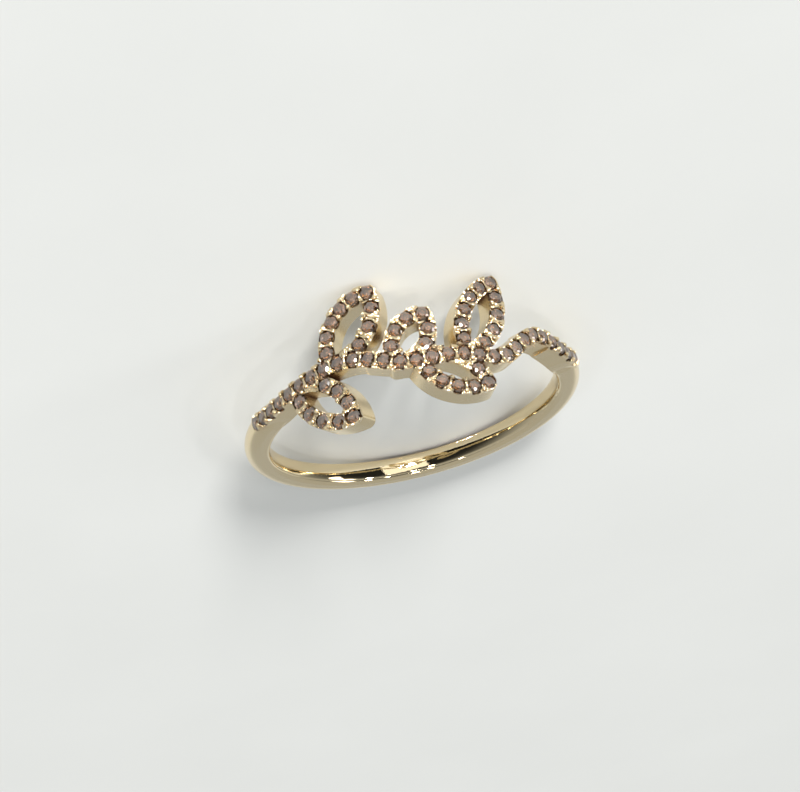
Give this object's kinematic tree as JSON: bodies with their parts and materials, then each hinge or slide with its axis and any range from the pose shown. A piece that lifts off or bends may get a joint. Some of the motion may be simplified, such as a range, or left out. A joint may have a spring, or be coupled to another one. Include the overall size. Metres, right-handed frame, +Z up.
{
  "type": "gold ring",
  "caption": "Slim gold finger ring with an openwork head: a waved stem with pointed open leaves, pavé set with small brilliants, on a round-backed shank.",
  "frame": {"origin": "middle of the ring's box on the surface it lies on", "axes": "+Z up from that surface, -Y towards the head, +X to the left of someone who faces the head with the ring as pictured"},
  "size_m": [0.02, 0.0204, 0.0078],
  "materials": {
    "gold": "polished yellow gold",
    "stone": "cut and polished, champagne"
  },
  "bodies": {
    "root": {"gold_ring": "gold", "scroll_stones": "stone", "shoulder_stones": "stone"}
  },
  "joints": []
}
